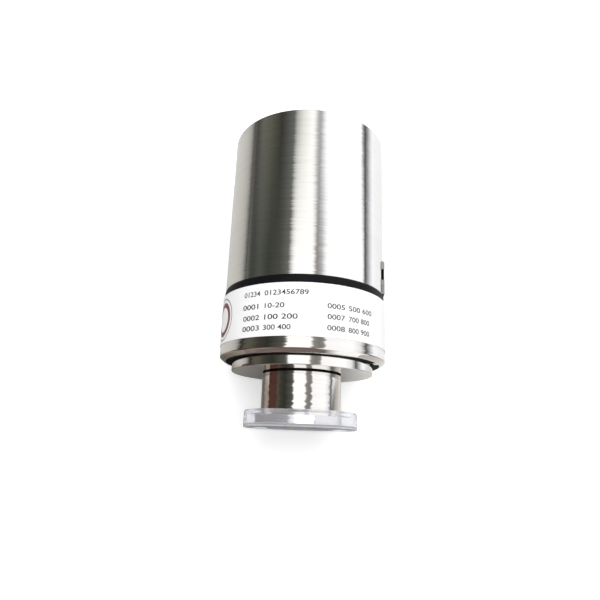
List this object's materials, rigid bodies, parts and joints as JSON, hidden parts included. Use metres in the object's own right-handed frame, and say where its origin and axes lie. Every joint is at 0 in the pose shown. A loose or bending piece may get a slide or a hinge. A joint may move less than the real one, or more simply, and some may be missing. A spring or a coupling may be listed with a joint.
{
  "type": "vacuum gauge",
  "caption": "Round steel vacuum gauge with a small clamp flange under a dust cap, a printed label and a side socket for signal and supply.",
  "frame": {"origin": "centre of the flange's sealing face, at the mouth of its centring recess", "axes": "+Z along the gauge's axis from the flange to the closed end of the cover, +X out of the signal socket"},
  "size_m": [0.063, 0.0628, 0.115],
  "materials": {
    "cover_steel": "turned, fine rings",
    "shell_steel": "turned, polished",
    "neck_steel": "turned",
    "plate_steel": "polished",
    "inner_steel": "satin",
    "screw_steel": "satin",
    "label_film": "satin film",
    "band_rubber": "satin",
    "insulator_plastic": "matt",
    "cap_plastic": "translucent, soft gloss",
    "socket_plastic": "satin",
    "shield_metal": "plated",
    "contact_gold": "gold flash",
    "seal_glass": "clear",
    "pin_metal": "plated",
    "board_laminate": "lacquered",
    "chip_plastic": "moulded",
    "pillar_brass": "turned",
    "can_aluminium": "satin"
  },
  "bodies": {
    "gauge": {"flange_neck": "neck_steel", "inlet_baffle": "inner_steel", "baffle_retaining_ring": "inner_steel", "sensor_header": "inner_steel", "glass_seals": "seal_glass", "feedthrough_pins": "pin_metal", "sensor_wires": "pin_metal", "sensor_shroud": "inner_steel", "mounting_plate": "plate_steel", "insulator_ring": "insulator_plastic", "base_shell": "shell_steel", "plate_screws": "screw_steel", "rating_label": "label_film", "gasket_band": "band_rubber", "cover_shell": "cover_steel", "cover_screws": "screw_steel", "sensor_board": "board_laminate", "link_socket": "chip_plastic", "link_pins": "pin_metal", "lower_standoffs": "pillar_brass", "main_board": "board_laminate", "jack_housing": "socket_plastic", "jack_contacts": "contact_gold", "jack_shield": "shield_metal", "shield_posts": "shield_metal", "middle_standoffs": "pillar_brass", "power_board": "board_laminate", "stack_sockets": "chip_plastic", "stack_pins": "pin_metal", "supply_capacitors": "can_aluminium", "power_inductor": "chip_plastic", "converter_module": "chip_plastic", "upper_standoffs": "pillar_brass", "control_board": "board_laminate", "processor_chip": "chip_plastic", "small_chips": "chip_plastic", "crystal_can": "can_aluminium", "board_screws": "screw_steel"},
    "cap": {"dust_cap": "cap_plastic"}
  },
  "joints": [
    {"name": "dust_cap_pull", "type": "slide", "parent": "gauge", "child": "cap", "axis": [0, 0, -1], "range_m": [0, 0.04]}
  ]
}
